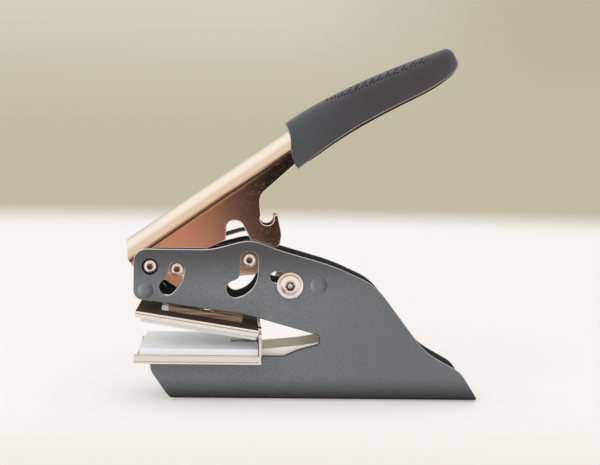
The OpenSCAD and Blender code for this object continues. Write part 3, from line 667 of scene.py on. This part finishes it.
spring_steel = Finish("drawn_spring_wire", Metallic=1.0)
drawn = spring_steel.noise(500, 2)
spring_steel.feed("Base Color", spring_steel.mix((0.33, 0.31, 0.26, 1), (0.50, 0.47, 0.40, 1),
                                                 drawn))
spring_steel.feed("Roughness", 0.26 + drawn * 0.14)
spring_steel.bump(drawn, 0.00001, 0.4)
spring.data.materials.clear()
spring.data.materials.append(spring_steel.material)
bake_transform(spring)
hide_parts("return_spring")

leg_dark = Finish("leg_tube_oxide", Metallic=0.3)
oxide = leg_dark.mix((0.030, 0.022, 0.008, 1), (0.075, 0.055, 0.022, 1), leg_dark.noise(500, 2))
# painted light: the tube's underside is painted pale tan, as if lit from the table below, and the
# rest dark
above_leg = leg_dark.step(leg_dark.normal("Z"), -0.75, -0.35)
leg_dark.feed("Base Color", leg_dark.mix((0.80, 0.68, 0.44, 1), oxide, above_leg))
leg_dark.feed("Roughness", 0.35 + leg_dark.noise(900, 1) * 0.2)
leg_tube = tube("leg_tube_dark", route[1:7], radius=0.00115, sides=6)
dress(leg_tube, leg_dark, "handle", "spring_steel")

sleeve_plastic = Finish("sleeve_white_plastic", Roughness=0.4)
sleeve_plastic.feed("Base Color", sleeve_plastic.mix(
    (0.66, 0.66, 0.62, 1), (0.76, 0.76, 0.72, 1), sleeve_plastic.noise(300, 2)))
dress(edged("spring_sleeve_moulded", "spring_sleeve", 0.0001), sleeve_plastic, "handle",
      "sleeve_plastic", "spring_sleeve")


# Die insert, lower half: a nickel plated steel tray that slides into the mouth on its narrow
# tail. Its folded edge shows as two bands with a fine groove between, and a stop wall stands at
# its rear.
plate = Finish("nickel_plated_sheet")
drag = plate.noise(210, 3, (0.12, 1, 1))
bright = plate.mix((0.92, 0.85, 0.77, 1), (1.0, 0.97, 0.93, 1), drag)
bright = plate.mix(bright, (0.80, 0.74, 0.68, 1), 0.7 - (plate.axis("Z") > 0.0303) * 0.7)
# the tail is dull, and painted yellower and paler on its far side, a painted light for the wall
# that stands in shade
tail = plate.axis("X") > wall_back
near = 1 - (plate.axis("Y") > 0)
tail_shade = plate.mix((1.0, 0.98, 0.80, 1), (0.97, 0.90, 0.80, 1), near)
plate.feed("Base Color", plate.mix(bright, tail_shade, tail))
plate.feed("Metallic", 0.80 - tail * 0.80)
plate.feed("Roughness", 0.16 + drag * 0.16 + tail * 0.2)
plate.bump(drag, 0.00001, 0.4)
dress(edged("lower_plate_plated", "lower_plate", 0.00018, 2), plate, "insert", "nickel_plate",
      "lower_plate")


# Leaf: a thin strip of spring steel riveted in the tail. It reaches through the stop wall and
# lifts the upper plate, and lies down flat in its groove as the dies close.
leaf = edged("lift_leaf_sprung", "lift_spring", 0.00005, 1)
dress(leaf, spring_steel, "insert", "spring_steel", "lift_spring")
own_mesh(leaf)


# Dies: two pale plastic ones, the lower with a raised ring of plain beads and petals, and the
# upper with the same design sunk in, so that the paper takes the relief between them.
die_half_length, paper_gap = 0.0245, 0.0003
rock_axis, open_angle = Vector((0.005125, 0, 0.0322)), math.radians(8.65)
opened = (Matrix.Translation(rock_axis) @ Matrix.Rotation(open_angle, 4, "Y")
          @ Matrix.Translation(-rock_axis))


def bead_ring(name, count, radius, size, place, tall):
    """A ring of flat beads on a die's face."""
    beads = []
    for i in range(count):
        a = math.tau * i / count
        bpy.ops.object.select_all(action="DESELECT")
        bpy.ops.mesh.primitive_uv_sphere_add(
            segments=12, ring_count=6, radius=1, scale=(size[0], size[1], tall),
            location=place + Vector((radius * math.cos(a), radius * math.sin(a), 0)),
            rotation=(0, 0, a))
        bpy.ops.object.transform_apply(location=True, rotation=True, scale=True)
        beads.append(bpy.context.object)
    return joined(name, beads)


def plain_ring(name, radius, width, place, tall):
    """A raised ring on a die's face."""
    bpy.ops.object.select_all(action="DESELECT")
    bpy.ops.mesh.primitive_torus_add(major_radius=radius, minor_radius=width, major_segments=72,
                                     minor_segments=8, location=place)
    piece = bpy.context.object
    piece.name = name
    bpy.ops.transform.resize(value=(1, 1, tall / width), center_override=place)
    bpy.ops.object.transform_apply(location=True, rotation=True, scale=True)
    return piece


def relief(name, place, tall):
    """The whole round design on one die."""
    design = joined(name, [
        plain_ring("ring_outer", 0.0190, 0.00045, place, tall),
        plain_ring("ring_inner", 0.0142, 0.0003, place, tall),
        bead_ring("beads", 36, 0.0166, (0.0008, 0.0008), place, tall),
        bead_ring("petals", 8, 0.0078, (0.0042, 0.0015), place, tall),
        bead_ring("seeds", 8, 0.0125, (0.0006, 0.0006), place, tall),
        bead_ring("middle", 1, 0, (0.0018, 0.0018), place, tall)])
    smooth(design, 50)
    return design


lower_finish = Finish("lower_die_white", Specular_IOR_Level=0.5, Coat_Weight=0.15)
milk = lower_finish.noise(120, 3, (0.3, 1, 1))
lower_finish.feed("Base Color", lower_finish.mix((0.80, 0.85, 0.89, 1), (0.90, 0.94, 0.97, 1),
                                                 milk))
lower_finish.feed("Roughness", 0.26 + milk * 0.12)
upper_finish = Finish("upper_die_pale", Specular_IOR_Level=0.5, Subsurface_Weight=0.15,
                      Subsurface_Scale=0.002)
haze = upper_finish.noise(120, 3, (0.3, 1, 1))
upper_finish.feed("Base Color", upper_finish.mix((0.72, 0.73, 0.76, 1), (0.86, 0.86, 0.87, 1),
                                                 haze))
upper_finish.feed("Roughness", 0.28 + haze * 0.12)

die_low, die_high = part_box("lower_die")
die_middle = Vector((die_low[0] + die_half_length, 0, die_high[2]))
dress(edged("lower_die_moulded", "lower_die", 0.0002, 2), lower_finish, "insert",
      "lower_die_plastic", "lower_die")
dress(relief("lower_die_relief", die_middle, 0.00012), lower_finish, "insert",
      "lower_die_plastic")
dress(edged("upper_die_moulded", "upper_die", 0.0002, 2), upper_finish, "upper_half",
      "upper_die_plastic", "upper_die")
upper_relief = relief("upper_die_relief", die_middle + Vector((0, 0, paper_gap)), 0.0001)
upper_relief.data.transform(opened)
dress(upper_relief, upper_finish, "upper_half", "upper_die_plastic")


# Die insert, upper half: a thicker nickel plated plate that rocks in the stop wall's notches,
# with the plated pressure bar riveted across its top. The bar's copper tint is a painted reflection
# of the brown room, and its front end is painted white as a highlight. The plate's top is dark
# brown.
upper_plate = edged("upper_plate_plated", "upper_plate", 0.00018, 2)
dress(upper_plate, plate, "upper_half", "nickel_plate", "upper_plate")
plate_top_dark = Finish("plate_top_dark_brown", Specular_IOR_Level=0.12)
top_mottle = plate_top_dark.noise(160, 3)
plate_top_dark.feed("Base Color", plate_top_dark.mix((0.018, 0.012, 0.012, 1), (0.075, 0.048, 0.036, 1), top_mottle))
plate_top_dark.feed("Roughness", 0.55 + top_mottle * 0.2)
upper_plate.data.materials.append(plate_top_dark.material)
for face in upper_plate.data.polygons:
    face.material_index = int(face.normal.z > 0.9)

# the sheet's edges are turned down, which makes them look thicker than the sheet
lip_t, lip_h, lip_z, lip_y = 0.0006, 0.00085, 0.0321, 0.02465
lips = []
for size, place in (((0.0627, lip_t, lip_h), (-0.055575, -lip_y, lip_z)),
                    ((0.0627, lip_t, lip_h), (-0.055575, lip_y, lip_z)),
                    ((lip_t, 0.0486, lip_h), (-0.086625, 0, lip_z))):
    lip = block(size, place)
    round_edges(lip, 0.00018)
    lips.append(lip)
lips = joined("upper_plate_lips", lips)
lips.data.transform(opened)
dress(lips, plate, "upper_half", "nickel_plate")

bar = Finish("pressure_bar_plate")
scratch = bar.node("ShaderNodeMapRange", {}, {
    "Value": bar.noise(300, 3, (0.06, 1, 3)), "From Min": 0.35, "From Max": 0.65})
# painted reflection: the bar's copper tint stands for the brown room it mirrors, streaked along its
# scratches
copper_reflection = bar.mix((0.26, 0.15, 0.10, 1), (0.85, 0.64, 0.47, 1), scratch)
bar_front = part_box("pressure_bar")[0][0]
# painted highlight: the bar's front end is painted white
bar_front_highlight = 1 - (bar.axis("X") > bar_front + 0.0035)
bar.feed("Base Color", bar.mix(copper_reflection, (0.93, 0.91, 0.88, 1), bar_front_highlight))
bar.feed("Metallic", 0.6 - bar_front_highlight * 0.5)
bar.feed("Roughness", 0.26 + scratch * 0.14)
bar.bump(scratch, 0.00001, 0.4)
dress(edged("pressure_bar_plated", "pressure_bar", 0.0002, 2), bar, "upper_half", "bar_plate",
      "pressure_bar")


# Table and light: a plain white table that fades into a beige wall, soft light from all round,
# and for the plated pieces the dark brown room that lies behind the camera.
beige = (0.540, 0.500, 0.368, 1)
bpy.ops.object.select_all(action="DESELECT")
bpy.ops.mesh.primitive_circle_add(vertices=96, radius=1, fill_type="NGON", location=(0, 0, 0))
table = bpy.context.object
table.name = "table_top"
table.scale, table.location = (2.4, 1.3, 1), (0, 0.86, -0.0002)
bpy.ops.object.transform_apply(location=True, rotation=True, scale=True)

table_white = Finish("table_white", Roughness=0.7, Specular_IOR_Level=0.1,
                     Base_Color=(0.90, 0.875, 0.86, 1))
camera_ray = table_white.node("ShaderNodeLightPath", out="Is Camera Ray")
# painted light: the camera sees the top glow paler in front of the stand, which lifts its shadow
# there
nearer = table_white.step(-1 * table_white.axis("Y"), 0.008, 0.060) * 0.42 + 0.38
table_glow = table_white.node("ShaderNodeEmission", {}, {"Color": (0.956, 0.922, 0.896, 1),
                                                    "Strength": 1.0})
top_shade = table_white.node("ShaderNodeMixShader", {}, {
    0: nearer * camera_ray, 1: Value(table_white, table_white.shader.outputs[0]), 2: table_glow})
# further back it passes into the wall's colour
across = table_white.axis("X") * 0.42
beyond = table_white.axis("Y") - 0.42
fade = table_white.step((across * across + beyond * beyond) ** 0.5, 0.43, 0.86)
wall_shade = table_white.node("ShaderNodeEmission", {}, {"Color": beige, "Strength": 1.0})
faded = table_white.node("ShaderNodeMixShader", {}, {0: fade * camera_ray, 1: top_shade,
                                                     2: wall_shade})
table_white.tree.links.new(faded.socket,
                           table_white.tree.nodes["Material Output"].inputs["Surface"])
table.data.materials.append(table_white.material)

world = bpy.data.worlds.new("room")
bpy.context.scene.world = world
world.use_nodes = True
room = Shades(world.node_tree, "Generated")
x, y, z = room.axis("X"), room.axis("Y"), room.axis("Z")
seen = room.node("ShaderNodeLightPath", out="Is Camera Ray")
glossy = room.node("ShaderNodeLightPath", out="Is Glossy Ray")
# what the plated pieces mirror: the brown room behind the camera, and the pale one round about
behind_camera = y * -1
tone = room.node("ShaderNodeMapRange", {}, {
    "Value": x * 2 + z, "From Min": -0.24, "From Max": 0.06})
brown = room.ramp(tone, (0.0, (0.60, 0.26, 0.155, 1)), (0.13, (0.56, 0.24, 0.145, 1)),
                  (0.47, (0.145, 0.083, 0.058, 1)), (0.62, (0.042, 0.020, 0.011, 1)),
                  (0.70, (0.010, 0.006, 0.003, 1)))
round_about = room.ramp(behind_camera * 0.5 + 0.5,
                        (0.0, (0.56, 0.52, 0.38, 1)), (0.10, (0.80, 0.76, 0.61, 1)),
                        (0.28, (1.0, 0.96, 0.85, 1)), (0.50, (1.05, 1.0, 0.95, 1)),
                        (0.68, (1.0, 0.93, 0.86, 1)), (0.78, (0.90, 0.79, 0.69, 1)),
                        (0.875, (0.84, 0.64, 0.46, 1)), (0.945, (0.62, 0.39, 0.24, 1)),
                        (0.966, (0.04, 0.026, 0.018, 1)), (0.978, (0.02, 0.014, 0.010, 1)))
mirrored = room.mix(round_about, brown, room.step(behind_camera, 0.955, 0.975))
sky = room.mix((0.94, 0.94, 0.94, 1), mirrored, glossy)
# what the camera sees: a beige wall, lighter on the left
wall_top = room.mix((0.665, 0.632, 0.522, 1), (0.510, 0.474, 0.352, 1),
                    room.step(x, 0.02, 0.30))
wall = room.mix(beige, wall_top, room.step(z, -0.02, 0.14))
sky = room.mix(sky, wall, seen)
background = world.node_tree.nodes["Background"]
world.node_tree.links.new(sky.socket, background.inputs["Color"])
background.inputs["Strength"].default_value = 1.0


def soft_lamp(name, place, aim, size, power, shade):
    """A soft square lamp that points at a place. The plated pieces mirror the room alone."""
    light = bpy.data.lights.new(name, "AREA")
    light.size, light.energy, light.color = size, power, shade
    lamp = placed(name, light)
    lamp.location = place
    lamp.rotation_euler = (Vector(aim) - Vector(place)).to_track_quat("-Z", "Y").to_euler()
    lamp.visible_glossy = False


soft_lamp("window_left", (-1.4, -1.5, 1.7), (0, 0, 0.06), 1.8, 12.5, (1.0, 0.985, 0.96))
soft_lamp("window_back", (0.6, 1.5, 1.8), (0, 0, 0.05), 1.8, 2.5, (1.0, 0.99, 0.97))


# Camera: the photograph's view, from the front of the stand's long side, a little above it and
# a little to its left, with a short telephoto lens.
frame_width, pixel_focal, pixel_shift = 600, 1015.4, 20
eye = (-0.034925, -0.5321, 0.14334)
turn, tip, roll = math.radians(2.39), math.radians(4.93), math.radians(1.14)
forward = Vector((math.sin(turn) * math.cos(tip), math.cos(turn) * math.cos(tip),
                  -math.sin(tip)))
level = Vector((math.cos(turn), -math.sin(turn), 0))
upward = level.cross(forward)
right = level * math.cos(roll) + upward * math.sin(roll)
top = upward * math.cos(roll) - level * math.sin(roll)
lens = bpy.data.cameras.new("photo_view")
lens.sensor_width = 36
lens.lens = lens.sensor_width * pixel_focal / frame_width
lens.shift_x, lens.shift_y = pixel_shift / frame_width, -pixel_shift / frame_width
lens.clip_start, lens.clip_end = 0.01, 20
camera = placed("photo_view", lens)
camera.matrix_world = Matrix((
    (right.x, top.x, -forward.x, eye[0]), (right.y, top.y, -forward.y, eye[1]),
    (right.z, top.z, -forward.z, eye[2]), (0, 0, 0, 1)))
bpy.context.scene.camera = camera
bpy.context.scene.view_settings.view_transform = "Standard"
